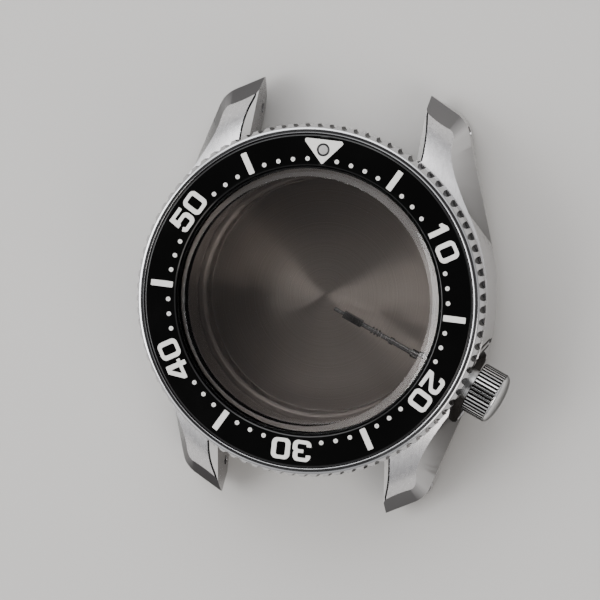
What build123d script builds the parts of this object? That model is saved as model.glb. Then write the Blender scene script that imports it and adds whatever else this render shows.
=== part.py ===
"""Empty dive watch case: midcase with drilled lugs, crystal, turning bezel, crown, stem and back.

The case lies on its back with the crystal up. X points to 3 o'clock, Y to 12 o'clock and Z out
of the crystal. The origin is on the case axis, in the outer face of the back. Millimetres.
"""

import os
from math import acos, asin, cos, degrees, hypot, pi, radians, sin, sqrt, tan

from build123d import *

os.makedirs("parts", exist_ok=True)

# Fits and overruns
running_clearance = 0.07      # radial play of a turning or sliding fit
seat_clearance = 0.02         # between pieces pressed or laid together
cut_overrun = 1.0             # how far a cutting shape runs past the metal

# Case body from above
case_width = 40.8             # across 3 and 9 o'clock, without the crown
lug_span = 49.4               # lug tip to lug tip
lug_gap = 20.0                # strap width
lug_wall_radius = 18.6        # wall of the case between the lugs
flank_radius = 23.5           # arc of the flank at 3 and 9 o'clock
lug_end_width = 4.49          # from the inner wall of a lug to the corner of its outline
lug_end_lean = 28.5           # degrees, the end facet of a lug from X
lug_corner_radius = 3.5

# The polished bevel lies between a wide outline at the bottom and a narrow one at the top
bevel_foot_widening = 0.15    # past the half width of the case
bevel_foot_radius = 28.0
bevel_foot_end_width = 5.52
bevel_foot_overreach = 1.9    # its lug end past the lug tip, along the inner wall
bevel_top_end_width = 2.94
bevel_top_share = 0.394       # its lug end, as a share of the way from the back's flange to the tip

# Heights above the outer face of the back
body_bottom = 1.9             # underside of the midcase
platform_height = 10.5        # flat that the bezel turns above
platform_setback = 0.15       # edge of the flat inside the half width of the case
lug_heel_height = 0.6         # lowest point of the lugs
lug_heel_inner_share = 0.479  # of the way from the flange of the back to the lug tip
lug_heel_outer_share = 0.704
lug_tip_height = 2.4
flank_foot_rise = 1.5         # slope of the underside from the back to the flank
heel_clearance = 0.1          # from the flange of the back to these slopes

# Top of the lugs, turned about the case axis: an arc that falls from the platform's height
lug_top_setback = 3.3         # start of the arc inside the edge of the platform
lug_top_radius = 9.0
lug_top_slope = 50.0          # degrees, where the arc becomes a straight fall

# Polished bevel on the inner edge of each lug, one plane that runs out at the tip
inner_bevel_setback = 4.5     # a point of its lower edge, back from the lug tip
inner_bevel_height = 6.95     # height of that point
inner_bevel_fall = 26.5       # degrees, fall of the lower edge towards the tip
inner_bevel_tilt = 60.5       # degrees, rise away from the strap gap
inner_bevel_run = 3.0         # width of the cut
inner_bevel_overrun = 0.1     # of the cut past the lug wall
inner_bevel_length = 5.0      # half length of the cut

# Drilled lug holes for the spring bars
lug_hole_radius = 0.55
lug_hole_share = 0.4859       # of the way from the flange of the back to the lug tip
lug_hole_height = 2.3

# Bore for the movement, crystal seat and neck
crystal_seat_width = 0.85
crystal_seat_height = 11.3
dial_bore_step = 6.7          # lower end of the dial bore
movement_bore_step = 0.25     # movement bore wider than the dial bore
neck_wall = 1.3
neck_top = 12.8
neck_chamfer = 0.2

# Crystal and its gasket
crystal_thickness = 3.1
crystal_bevel_width = 0.85
crystal_bevel_drop = 0.75
crystal_edge_break = 0.1
crystal_gasket_wall = 0.35
crystal_gasket_height = 1.3

# Turning bezel
bezel_gap = 0.2               # between bezel and platform
bezel_wall = 3.5              # from the neck to the half width of the case
bezel_rim_slope = 0.45        # width of the sloping rim
bezel_rim_drop = 0.05         # rim below the top of the insert
bezel_rim_fall = 1.0          # height of the sloping rim
bezel_foot_chamfer = 0.2
bezel_rim_wall = 0.6
bezel_shelf_gap = 0.2         # seat of the insert above the neck
bezel_teeth_root = 11.25
scallop_count = 90
scallop_radius = 0.44
scallop_depth = 0.38
scallop_sides = 6
click_count = 120
click_setback = 0.4           # toothed ring from the neck
click_width = 1.5             # of the toothed ring
click_height = 0.35           # of the toothed ring
click_depth = 0.3             # of the gap at a tooth's steep face
click_land = 0.08             # flat crest of a tooth
click_cut_overrun = 0.12

# Bezel insert, its triangle pip and the cup that holds the pip
insert_gap = 0.2              # between crystal and insert
insert_thickness = 1.0
insert_chamfer = 0.25
pip_place = 17.5
pip_radius = 0.58
pip_cup_wall = 0.14
pip_cup_depth = 0.7
pip_proud = 0.04

# Gasket that holds the bezel on the neck
bezel_gasket_height = 11.95
bezel_gasket_side = 0.66      # of its square section
bezel_groove_depth = 0.4      # groove in the neck
bezel_groove_relief = 0.25    # groove in the bezel

# Click spring in its pocket in the platform
click_pocket_margin = 0.3     # pocket wider than the toothed ring, outside
click_pocket_inset = 0.05     # pocket narrower than the toothed ring, inside
click_pocket_depth = 1.0
click_pocket_span = 96.0      # degrees
click_pocket_middle = 180.0   # degrees from 3 o'clock
click_leaf_width = 1.3
click_leaf_thickness = 0.25
click_leaf_span = 84.0        # degrees
click_foot_height = 0.35
click_foot_span = 12.0        # degrees
click_tip_rise = 1.02         # into a gap between two teeth
click_tip_width = 0.09
click_tip_clearance = 0.02    # to the steep face of the tooth

# Screwed back
back_flange_radius = 17.5
back_flange_height = 1.8
back_flange_chamfer = 0.6
back_thread_radius = 16.38
back_skirt_top = 4.55
back_skirt_gap = 0.25         # between the skirt and the end of the thread bore
back_recess_radius = 13.75
back_recess_floor = 1.8
back_recess_chamfer = 0.4
back_thread_pitch = 0.5
back_thread_turns = 3
back_notch_count = 6
back_notch_width = 2.6
back_notch_depth = 1.5
back_notch_height = 0.8
back_ring_width = 2.3         # around the flat that the case lies on
back_face_step = 0.15         # from the flat to the ring around it
back_gasket_radius = 16.95
back_gasket_side = 0.66       # of its square section
back_groove_relief = 0.03

# Crown axis, between 3 and 4 o'clock, and the recess in the flank
crown_angle = -22.5           # degrees from 3 o'clock
crown_height = 7.4
crown_recess_depth = 0.65     # floor of the recess inside the half width of the case
crown_recess_radius = 3.45
crown_recess_mouth_rise = 1.05
crown_recess_mouth_radius = 6.1

# Crown tube, screwed into the midcase. Reaches along the crown axis start at the recess floor
tube_shank_radius = 1.25
tube_setback = 0.5            # inner end behind the wall of the dial bore
tube_reach = 2.85
tube_thread_radius = 1.5
tube_bore_radius = 0.8
tube_flange_radius = 1.85
tube_flange_reach = 1.23      # the crown gasket closes on it
tube_gasket_reach = 2.15
tube_gasket_length = 0.45
tube_gasket_wall = 0.28

# Crown shell
crown_face_reach = 1.2
crown_radius = 3.05
crown_knurl_length = 3.0
crown_cap_length = 0.75
crown_cap_radius = 2.75       # where the dome starts
crown_edge_chamfer = 0.15
crown_rib_count = 40
crown_groove_width = 0.26
crown_groove_depth = 0.2
crown_skirt_bore = 2.35
crown_skirt_depth = 0.45
crown_cap_wall = 0.62
crown_cavity_radius = 1.45
crown_lift_turns = 4
crown_thread_pitch = 0.35

# Threaded sleeve pressed into the shell
sleeve_wall = 0.4
sleeve_reach = 2.9

# Ring that seals the shell on the tube flange
crown_gasket_thickness = 0.4

# Core, washer and spring inside the crown
core_radius = 0.72
core_start_reach = 0.75
core_flange_reach = 3.05
core_flange_thickness = 0.25
core_flange_radius = 1.3
core_reach = 4.0
core_bore_radius = 0.44
core_bore_reach = 2.65
washer_thickness = 0.12
washer_radius = 1.3
spring_wire_width = 0.18      # of the square wire
spring_coil_radius = 1.05
spring_turns = 2
spring_end_gap = 0.03

# Winding stem, as distances along the crown axis and radii
stem_pilot_start = 2.45
stem_pilot_radius = 0.22
stem_square_start = 3.75
stem_square_end = 6.15
stem_square_width = 0.84
stem_neck_radius = 0.27
stem_ridge_start = 7.45
stem_ridge_count = 3
stem_ridge_width = 0.2
stem_ridge_pitch = 0.42
stem_ridge_radius = 0.42
stem_collar_start = 9.85
stem_collar_end = 10.4
stem_collar_radius = 0.42
stem_shank_radius = 0.3
stem_bearing_start = 12.8
stem_bearing_radius = 0.5
stem_bearing_end = 16.4
stem_thread_radius = 0.42
stem_pull = 1.3               # travel from winding to setting

# Planes and axes that the pieces share
case_axis = Axis.Z
crown_direction = Vector(cos(radians(crown_angle)), sin(radians(crown_angle)), 0)
crown_origin = Vector(0, 0, crown_height)
crown_axis = Axis(crown_origin, crown_direction)
crown_plane = Plane(crown_origin, x_dir=crown_direction, z_dir=crown_direction.cross(Vector(0, 0, 1)))
half_width = case_width / 2
lug_tip = lug_span / 2
heel_start = back_flange_radius + heel_clearance
lug_hole_reach = heel_start + lug_hole_share * (lug_tip - heel_start)
bevel_top_reach = heel_start + bevel_top_share * (lug_tip - heel_start)
platform_radius = half_width - platform_setback
bezel_radius = half_width
bezel_rim_radius = bezel_radius - bezel_rim_slope
neck_outer_radius = bezel_radius - bezel_wall
crystal_radius = neck_outer_radius - neck_wall - crystal_gasket_wall
dial_bore_radius = crystal_radius - crystal_seat_width
movement_bore_radius = dial_bore_radius + movement_bore_step
click_inner_radius = neck_outer_radius + click_setback
click_outer_radius = click_inner_radius + click_width
click_pocket_inner = click_inner_radius + click_pocket_inset
click_pocket_outer = click_outer_radius + click_pocket_margin
insert_inner_radius = crystal_radius + insert_gap
insert_outer_radius = bezel_rim_radius - bezel_rim_wall
bezel_foot = platform_height + bezel_gap
bezel_shelf_height = neck_top + bezel_shelf_gap
insert_top = bezel_shelf_height + insert_thickness
bezel_rim_height = insert_top - bezel_rim_drop
bezel_bore_radius = neck_outer_radius + running_clearance
crown_recess_floor = half_width - crown_recess_depth
crown_inner_face = crown_recess_floor + crown_face_reach
tube_outer_end = crown_recess_floor + tube_reach
sleeve_outer_end = crown_recess_floor + sleeve_reach
core_bore_end = crown_recess_floor + core_bore_reach
shell_end = crown_inner_face + crown_knurl_length
crown_end = shell_end + crown_cap_length
cavity_end = crown_end - crown_cap_wall
sleeve_bore_radius = tube_thread_radius + running_clearance
sleeve_radius = sleeve_bore_radius + sleeve_wall


def crown_station(distance):
    """Plane square to the crown axis at a distance from the case axis."""
    return Plane(crown_axis.position + crown_direction * distance, z_dir=crown_direction)


def upright_profile(points):
    """Half section of a piece turned about the case axis, from points of radius and height."""
    with BuildSketch(Plane.XZ) as profile:
        with BuildLine():
            Polyline(*points, close=True)
        make_face()
    return profile.sketch


def crown_profile(points):
    """Half section of a piece turned about the crown axis, from points of distance and radius."""
    with BuildSketch(crown_plane) as profile:
        with BuildLine():
            Polyline(*points, close=True)
        make_face()
    return profile.sketch


def square_section(radius, height, side):
    """Square section of a gasket about the case axis, placed by its middle."""
    with BuildSketch(Plane.XZ) as profile:
        with Locations((radius, height)):
            Rectangle(side, side)
    return profile.sketch


def quarter_outline(height, side_reach, side_radius, end_width, end_reach):
    """One quarter of the case from above: flank arc, straight flank, lug end and inner lug wall."""
    arc_centre = side_reach - side_radius
    inner_x = lug_gap / 2
    corner = (inner_x + end_width, end_reach - end_width * tan(radians(lug_end_lean)))
    corner_run = hypot(corner[0] - arc_centre, corner[1])
    side_lean = (degrees(asin(corner[1] / corner_run))
                 - degrees(acos(side_radius / corner_run)))
    lean = radians(side_lean)
    start = (arc_centre + side_radius * cos(lean), side_radius * sin(lean))
    foot_y = sqrt(lug_wall_radius**2 - inner_x**2)
    foot_angle = degrees(asin(foot_y / lug_wall_radius))
    with BuildSketch(Plane.XY.offset(height)) as outline:
        with BuildLine():
            Line((0, 0), (side_reach, 0))
            CenterArc((arc_centre, 0), side_radius, 0, side_lean)
            Line(start, corner)
            Line(corner, (inner_x, end_reach))
            Line((inner_x, end_reach), (inner_x, foot_y))
            CenterArc((0, 0), lug_wall_radius, foot_angle, 90 - foot_angle)
            Line((0, lug_wall_radius), (0, 0))
        make_face()
        fillet(outline.vertices().sort_by_distance((*corner, height))[0], lug_corner_radius)
    return outline.sketch


# Midcase
far_reach = lug_tip + cut_overrun
far_width = half_width + cut_overrun
far_radius = hypot(far_reach, far_width)
far_height = platform_height + cut_overrun
lug_top_start = platform_radius - lug_top_setback
lug_slope = radians(lug_top_slope)
lug_arc_angle = degrees(acos(lug_top_setback / lug_top_radius))
with BuildPart() as lug_top_cut:
    with BuildSketch(Plane.XZ):
        with BuildLine():
            lug_arc = CenterArc((lug_top_start, platform_height - lug_top_radius), lug_top_radius,
                                90 - lug_top_slope, lug_arc_angle + lug_top_slope - 90)
            lug_fall = Line(lug_arc @ 0, ((lug_arc @ 0).X + far_radius,
                                          (lug_arc @ 0).Y - far_radius * tan(lug_slope)))
            Line(lug_fall @ 1, ((lug_fall @ 1).X, far_height))
            Line(((lug_fall @ 1).X, far_height), (platform_radius, far_height))
            Line((platform_radius, far_height), lug_arc @ 1)
        make_face()
    revolve(axis=case_axis)

lug_heel_inner = heel_start + lug_heel_inner_share * (lug_tip - heel_start)
lug_heel_outer = heel_start + lug_heel_outer_share * (lug_tip - heel_start)
with BuildPart() as underside_cut:
    with BuildSketch(Plane.YZ.offset(-far_width)):
        with BuildLine():
            Polyline(
                (0, body_bottom),
                (heel_start, body_bottom),
                (lug_heel_inner, lug_heel_height),
                (lug_heel_outer, lug_heel_height),
                (lug_tip, lug_tip_height),
                (far_reach, lug_tip_height),
                (far_reach, -cut_overrun),
                (0, -cut_overrun),
                close=True,
            )
        make_face()
    extrude(amount=2 * far_width)

flank_foot_slope = flank_foot_rise / (half_width - heel_start)
with BuildPart() as flank_foot_cut:
    with BuildSketch(Plane.XZ.offset(-far_reach)):
        with BuildLine():
            Polyline(
                (heel_start, body_bottom),
                (far_width, body_bottom + flank_foot_slope * (far_width - heel_start)),
                (far_width, -cut_overrun),
                (heel_start, -cut_overrun),
                close=True,
            )
        make_face()
    extrude(amount=2 * far_reach)

inner_bevel_direction = Vector(0, -cos(radians(inner_bevel_fall)), sin(radians(inner_bevel_fall)))
inner_bevel_plane = Plane((lug_gap / 2, lug_tip - inner_bevel_setback, inner_bevel_height),
                          x_dir=(1, 0, 0), z_dir=inner_bevel_direction)
inner_bevel_rise = tan(radians(inner_bevel_tilt))
with BuildPart() as inner_bevel_cut:
    with BuildSketch(inner_bevel_plane):
        with BuildLine():
            Polyline(
                (-inner_bevel_overrun, -inner_bevel_overrun * inner_bevel_rise),
                (inner_bevel_run, inner_bevel_run * inner_bevel_rise),
                (-inner_bevel_overrun, inner_bevel_run * inner_bevel_rise),
                close=True,
            )
        make_face()
    extrude(amount=inner_bevel_length, both=True)

crown_recess_mouth = crown_recess_floor + crown_recess_mouth_rise
with BuildPart() as crown_recess_cut:
    revolve(
        crown_profile([
            (crown_recess_floor, 0),
            (crown_recess_floor, crown_recess_radius),
            (crown_recess_mouth, crown_recess_mouth_radius),
            (crown_recess_mouth + cut_overrun, crown_recess_mouth_radius),
            (crown_recess_mouth + cut_overrun, 0),
        ]),
        axis=crown_axis,
    )

with BuildPart() as click_pocket_cut:
    with BuildSketch(Plane.XY.offset(platform_height)):
        with BuildLine():
            inner_arc = CenterArc((0, 0), click_pocket_inner,
                                  click_pocket_middle - click_pocket_span / 2, click_pocket_span)
            outer_arc = CenterArc((0, 0), click_pocket_outer,
                                  click_pocket_middle - click_pocket_span / 2, click_pocket_span)
            Line(inner_arc @ 0, outer_arc @ 0)
            Line(inner_arc @ 1, outer_arc @ 1)
        make_face()
    extrude(amount=-click_pocket_depth)

back_groove_top = back_flange_height + back_gasket_side + 2 * back_groove_relief
back_groove_radius = back_gasket_radius + back_gasket_side / 2 + back_groove_relief
bezel_groove_half = bezel_gasket_side / 2 + seat_clearance
with BuildPart() as midcase:
    add(quarter_outline(0, half_width + bevel_foot_widening, bevel_foot_radius,
                        bevel_foot_end_width, lug_tip + bevel_foot_overreach))
    add(quarter_outline(platform_height, platform_radius, platform_radius,
                        bevel_top_end_width, bevel_top_reach))
    loft(ruled=True)
    flank = quarter_outline(0, half_width, flank_radius, lug_end_width, lug_tip)
    extrude(flank, amount=platform_height, mode=Mode.INTERSECT)
    add(lug_top_cut.part, mode=Mode.SUBTRACT)
    add(underside_cut.part, mode=Mode.SUBTRACT)
    add(flank_foot_cut.part, mode=Mode.SUBTRACT)
    add(inner_bevel_cut.part, mode=Mode.SUBTRACT)
    mirror(about=Plane.YZ)
    mirror(about=Plane.XZ)
    with BuildSketch(Plane.XY.offset(platform_height)):
        Circle(neck_outer_radius)
    extrude(amount=neck_top - platform_height)
    revolve(
        upright_profile([
            (0, body_bottom),
            (back_thread_radius + running_clearance, body_bottom),
            (back_thread_radius + running_clearance, back_skirt_top + back_skirt_gap),
            (movement_bore_radius, back_skirt_top + back_skirt_gap),
            (movement_bore_radius, dial_bore_step),
            (dial_bore_radius, dial_bore_step),
            (dial_bore_radius, crystal_seat_height),
            (crystal_radius + crystal_gasket_wall, crystal_seat_height),
            (crystal_radius + crystal_gasket_wall, neck_top - neck_chamfer),
            (crystal_radius + crystal_gasket_wall + neck_chamfer, neck_top),
            (0, neck_top),
        ]),
        axis=case_axis,
        mode=Mode.SUBTRACT,
    )
    revolve(
        upright_profile([
            (back_thread_radius, body_bottom),
            (back_thread_radius, back_groove_top),
            (back_groove_radius, back_groove_top),
            (back_groove_radius, body_bottom),
        ]),
        axis=case_axis,
        mode=Mode.SUBTRACT,
    )
    revolve(
        upright_profile([
            (neck_outer_radius - bezel_groove_depth, bezel_gasket_height - bezel_groove_half),
            (neck_outer_radius, bezel_gasket_height - bezel_groove_half),
            (neck_outer_radius, bezel_gasket_height + bezel_groove_half),
            (neck_outer_radius - bezel_groove_depth, bezel_gasket_height + bezel_groove_half),
        ]),
        axis=case_axis,
        mode=Mode.SUBTRACT,
    )
    add(click_pocket_cut.part, mode=Mode.SUBTRACT)
    add(crown_recess_cut.part, mode=Mode.SUBTRACT)
    with BuildSketch(crown_station(dial_bore_radius - cut_overrun)):
        Circle(tube_shank_radius)
    extrude(amount=crown_recess_floor - dial_bore_radius + 2 * cut_overrun, mode=Mode.SUBTRACT)
    with BuildSketch(Plane.YZ.offset(-far_width)):
        with Locations((lug_hole_reach, lug_hole_height), (-lug_hole_reach, lug_hole_height)):
            Circle(lug_hole_radius)
    extrude(amount=2 * far_width, mode=Mode.SUBTRACT)
midcase.part.label = "midcase"
export_step(midcase.part, "parts/midcase.step")

# Crystal
crystal_top = crystal_seat_height + crystal_thickness
with BuildPart() as crystal:
    revolve(
        upright_profile([
            (0, crystal_seat_height),
            (crystal_radius - crystal_edge_break, crystal_seat_height),
            (crystal_radius, crystal_seat_height + crystal_edge_break),
            (crystal_radius, crystal_top - crystal_bevel_drop),
            (crystal_radius - crystal_bevel_width, crystal_top),
            (0, crystal_top),
        ]),
        axis=case_axis,
    )
crystal.part.label = "crystal"
export_step(crystal.part, "parts/crystal.step")

# Gasket between crystal and neck
with BuildPart() as crystal_gasket:
    revolve(
        upright_profile([
            (crystal_radius, crystal_seat_height),
            (crystal_radius + crystal_gasket_wall, crystal_seat_height),
            (crystal_radius + crystal_gasket_wall, crystal_seat_height + crystal_gasket_height),
            (crystal_radius, crystal_seat_height + crystal_gasket_height),
        ]),
        axis=case_axis,
    )
crystal_gasket.part.label = "crystal_gasket"
export_step(crystal_gasket.part, "parts/crystal_gasket.step")

# Bezel ring with its scalloped edge and the click teeth beneath
gasket_relief = bezel_gasket_side / 2 + bezel_groove_relief
click_pitch = 360 / click_count
click_crest = bezel_teeth_root - click_height
click_half_gap = click_inner_radius * tan(radians(click_pitch / 2)) - click_land / 2
with BuildSketch(Plane.YZ.offset(click_inner_radius - click_cut_overrun)) as click_gap:
    with BuildLine():
        Polyline(
            (-click_half_gap, click_crest - cut_overrun),
            (-click_half_gap, click_crest),
            (click_half_gap, click_crest + click_depth),
            (click_half_gap, click_crest - cut_overrun),
            close=True,
        )
    make_face()
click_gap_cut = extrude(click_gap.sketch,
                        amount=click_outer_radius - click_inner_radius + 2 * click_cut_overrun)

with BuildPart() as bezel_ring:
    revolve(
        upright_profile([
            (bezel_bore_radius, bezel_teeth_root),
            (click_inner_radius, bezel_teeth_root),
            (click_inner_radius, click_crest),
            (click_outer_radius, click_crest),
            (click_outer_radius, bezel_teeth_root),
            (click_pocket_outer, bezel_teeth_root),
            (click_pocket_outer, bezel_foot),
            (bezel_radius - bezel_foot_chamfer, bezel_foot),
            (bezel_radius, bezel_foot + bezel_foot_chamfer),
            (bezel_radius, bezel_rim_height - bezel_rim_fall),
            (bezel_rim_radius, bezel_rim_height),
            (insert_outer_radius + seat_clearance, bezel_rim_height),
            (insert_outer_radius + seat_clearance, bezel_shelf_height),
            (bezel_bore_radius, bezel_shelf_height),
            (bezel_bore_radius, bezel_gasket_height + gasket_relief),
            (bezel_bore_radius + bezel_groove_relief, bezel_gasket_height + gasket_relief),
            (bezel_bore_radius + bezel_groove_relief, bezel_gasket_height - gasket_relief),
            (bezel_bore_radius, bezel_gasket_height - gasket_relief),
        ]),
        axis=case_axis,
    )
    with BuildSketch(Plane.XY.offset(bezel_foot)):
        with PolarLocations(bezel_radius - scallop_depth + scallop_radius, scallop_count):
            RegularPolygon(scallop_radius, scallop_sides, major_radius=False,
                           rotation=180 / scallop_sides)
    extrude(amount=bezel_rim_height - bezel_foot, mode=Mode.SUBTRACT)
    with PolarLocations(0, click_count):
        add(click_gap_cut, mode=Mode.SUBTRACT)
bezel_ring.part.label = "bezel_ring"
export_step(bezel_ring.part, "parts/bezel_ring.step")

# Bezel insert with the hole for the pip
with BuildPart() as bezel_insert:
    revolve(
        upright_profile([
            (insert_inner_radius, bezel_shelf_height),
            (insert_outer_radius, bezel_shelf_height),
            (insert_outer_radius, insert_top - insert_chamfer),
            (insert_outer_radius - insert_chamfer, insert_top),
            (insert_inner_radius + insert_chamfer, insert_top),
            (insert_inner_radius, insert_top - insert_chamfer),
        ]),
        axis=case_axis,
    )
    with BuildSketch(Plane.XY.offset(insert_top)):
        with Locations((0, pip_place)):
            Circle(pip_radius + pip_cup_wall + seat_clearance)
    extrude(amount=-pip_cup_depth, mode=Mode.SUBTRACT)
bezel_insert.part.label = "bezel_insert"
export_step(bezel_insert.part, "parts/bezel_insert.step")

# Cup that holds the lume pip
with BuildPart() as pip_cup:
    with BuildSketch(Plane.XY.offset(insert_top - pip_cup_depth)):
        with Locations((0, pip_place)):
            Circle(pip_radius + pip_cup_wall)
    extrude(amount=pip_cup_depth)
    with BuildSketch(Plane.XY.offset(insert_top - pip_cup_depth + pip_cup_wall)):
        with Locations((0, pip_place)):
            Circle(pip_radius)
    extrude(amount=pip_cup_depth, mode=Mode.SUBTRACT)
pip_cup.part.label = "pip_cup"
export_step(pip_cup.part, "parts/pip_cup.step")

# Lume pip
with BuildPart() as lume_pip:
    with BuildSketch(Plane.XY.offset(insert_top - pip_cup_depth + pip_cup_wall)):
        with Locations((0, pip_place)):
            Circle(pip_radius)
    extrude(amount=pip_cup_depth - pip_cup_wall + pip_proud)
    chamfer(lume_pip.faces().sort_by(Axis.Z)[-1].edges(), pip_proud)
lume_pip.part.label = "lume_pip"
export_step(lume_pip.part, "parts/lume_pip.step")

# Gasket that holds the bezel
bezel_gasket_radius = neck_outer_radius - bezel_groove_depth + bezel_gasket_side / 2
with BuildPart() as bezel_gasket:
    revolve(square_section(bezel_gasket_radius, bezel_gasket_height, bezel_gasket_side),
            axis=case_axis)
bezel_gasket.part.label = "bezel_gasket"
export_step(bezel_gasket.part, "parts/bezel_gasket.step")

# Click spring: a foot in the pocket, a curved leaf, and a tip that stands up into the teeth
pocket_floor = platform_height - click_pocket_depth
leaf_radius = (click_pocket_inner + click_pocket_outer) / 2
leaf_start = click_pocket_middle - click_leaf_span / 2
leaf_bottom = pocket_floor + click_foot_height
tip_angle = round((leaf_start + click_leaf_span) / click_pitch) * click_pitch
tip_face = click_half_gap - click_tip_clearance
tip_rise = click_leaf_thickness + click_tip_rise
tip_plane = Plane.XY.rotated((0, 0, tip_angle))
with BuildPart() as click_spring:
    with BuildSketch(Plane.XY.offset(pocket_floor)):
        with BuildLine():
            arc = CenterArc((0, 0), leaf_radius, leaf_start, click_foot_span)
            offset(arc, click_leaf_width / 2, side=Side.BOTH)
        make_face()
    extrude(amount=click_foot_height)
    with BuildSketch(Plane.XY.offset(leaf_bottom)):
        with BuildLine():
            arc = CenterArc((0, 0), leaf_radius, leaf_start,
                            tip_angle + click_pitch / 2 - leaf_start)
            offset(arc, click_leaf_width / 2, side=Side.BOTH)
        make_face()
    extrude(amount=click_leaf_thickness)
    with BuildSketch(Plane(tip_plane.from_local_coords((leaf_radius, 0, leaf_bottom)),
                           x_dir=tip_plane.y_dir, z_dir=tip_plane.x_dir)):
        with BuildLine():
            Polyline(
                (-tip_face, 0),
                (tip_face, 0),
                (tip_face, tip_rise),
                (tip_face - click_tip_width, tip_rise),
                close=True,
            )
        make_face()
    extrude(amount=click_leaf_width / 2, both=True)
click_spring.part.label = "click_spring"
export_step(click_spring.part, "parts/click_spring.step")

# Screwed back
back_face_radius = back_flange_radius - back_flange_chamfer - back_ring_width
with BuildPart() as caseback:
    revolve(
        upright_profile([
            (0, 0),
            (back_face_radius, 0),
            (back_face_radius + back_face_step, back_face_step),
            (back_flange_radius - back_flange_chamfer, back_face_step),
            (back_flange_radius, back_face_step + back_flange_chamfer),
            (back_flange_radius, back_flange_height),
            (back_thread_radius, back_flange_height),
            (back_thread_radius, back_skirt_top),
            (back_recess_radius + back_recess_chamfer, back_skirt_top),
            (back_recess_radius, back_skirt_top - back_recess_chamfer),
            (back_recess_radius, back_recess_floor),
            (0, back_recess_floor),
        ]),
        axis=case_axis,
    )
    with BuildSketch(Plane.XY):
        with PolarLocations(back_flange_radius - back_notch_depth / 2, back_notch_count):
            Rectangle(back_notch_depth + seat_clearance, back_notch_width)
    extrude(amount=back_notch_height, mode=Mode.SUBTRACT)
caseback.part.label = "caseback"
export_step(caseback.part, "parts/caseback.step")

# Gasket between back and midcase
with BuildPart() as caseback_gasket:
    revolve(
        square_section(back_gasket_radius,
                       back_flange_height + back_gasket_side / 2 + seat_clearance,
                       back_gasket_side),
        axis=case_axis,
    )
caseback_gasket.part.label = "caseback_gasket"
export_step(caseback_gasket.part, "parts/caseback_gasket.step")

# Crown tube: shank in the case wall, flange on the recess floor, threaded end in the crown
tube_inner_end = dial_bore_radius + tube_setback
tube_flange_end = crown_recess_floor + tube_flange_reach
tube_gasket_place = crown_recess_floor + tube_gasket_reach
tube_gasket_end = tube_gasket_place + tube_gasket_length
with BuildPart() as crown_tube:
    revolve(
        crown_profile([
            (tube_inner_end, tube_bore_radius),
            (tube_inner_end, tube_shank_radius),
            (crown_recess_floor, tube_shank_radius),
            (crown_recess_floor, tube_flange_radius),
            (tube_flange_end, tube_flange_radius),
            (tube_flange_end, tube_thread_radius),
            (tube_outer_end - crown_edge_chamfer, tube_thread_radius),
            (tube_outer_end, tube_thread_radius - crown_edge_chamfer),
            (tube_outer_end, tube_bore_radius),
            (tube_gasket_end, tube_bore_radius),
            (tube_gasket_end, tube_bore_radius + tube_gasket_wall),
            (tube_gasket_place, tube_bore_radius + tube_gasket_wall),
            (tube_gasket_place, tube_bore_radius),
        ]),
        axis=crown_axis,
    )
crown_tube.part.label = "crown_tube"
export_step(crown_tube.part, "parts/crown_tube.step")

# Gasket inside the tube
with BuildPart() as tube_gasket:
    revolve(
        crown_profile([
            (tube_gasket_place, core_radius + seat_clearance),
            (tube_gasket_place, tube_bore_radius + tube_gasket_wall),
            (tube_gasket_end, tube_bore_radius + tube_gasket_wall),
            (tube_gasket_end, core_radius + seat_clearance),
        ]),
        axis=crown_axis,
    )
tube_gasket.part.label = "tube_gasket"
export_step(tube_gasket.part, "parts/tube_gasket.step")

# Crown shell: ribbed band, domed cap, and the bore for sleeve, spring and core
skirt_floor = crown_inner_face + crown_skirt_depth
crown_dome_radius = (crown_cap_radius**2 + crown_cap_length**2) / (2 * crown_cap_length)
with BuildPart() as crown_shell:
    with BuildSketch(crown_plane):
        with BuildLine():
            Line((skirt_floor, sleeve_radius), (skirt_floor, crown_skirt_bore))
            Line((skirt_floor, crown_skirt_bore), (crown_inner_face, crown_skirt_bore))
            Line((crown_inner_face, crown_skirt_bore),
                 (crown_inner_face, crown_radius - crown_edge_chamfer))
            Line((crown_inner_face, crown_radius - crown_edge_chamfer),
                 (crown_inner_face + crown_edge_chamfer, crown_radius))
            Line((crown_inner_face + crown_edge_chamfer, crown_radius),
                 (shell_end - crown_edge_chamfer, crown_radius))
            Line((shell_end - crown_edge_chamfer, crown_radius), (shell_end, crown_cap_radius))
            RadiusArc((shell_end, crown_cap_radius), (crown_end, 0), crown_dome_radius)
            Line((crown_end, 0), (cavity_end, 0))
            Line((cavity_end, 0), (cavity_end, crown_cavity_radius))
            Line((cavity_end, crown_cavity_radius), (sleeve_outer_end, crown_cavity_radius))
            Line((sleeve_outer_end, crown_cavity_radius), (sleeve_outer_end, sleeve_radius))
            Line((sleeve_outer_end, sleeve_radius), (skirt_floor, sleeve_radius))
        make_face()
    revolve(axis=crown_axis)
    with BuildSketch(crown_station(crown_inner_face)):
        with PolarLocations(crown_radius, crown_rib_count):
            Rectangle(2 * crown_groove_depth, crown_groove_width)
    extrude(amount=crown_knurl_length - crown_edge_chamfer, mode=Mode.SUBTRACT)
crown_shell.part.label = "crown_shell"
export_step(crown_shell.part, "parts/crown_shell.step")

# Threaded sleeve pressed into the shell
with BuildPart() as crown_sleeve:
    revolve(
        crown_profile([
            (skirt_floor, sleeve_bore_radius),
            (skirt_floor, sleeve_radius),
            (sleeve_outer_end, sleeve_radius),
            (sleeve_outer_end, sleeve_bore_radius),
        ]),
        axis=crown_axis,
    )
crown_sleeve.part.label = "crown_sleeve"
export_step(crown_sleeve.part, "parts/crown_sleeve.step")

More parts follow.
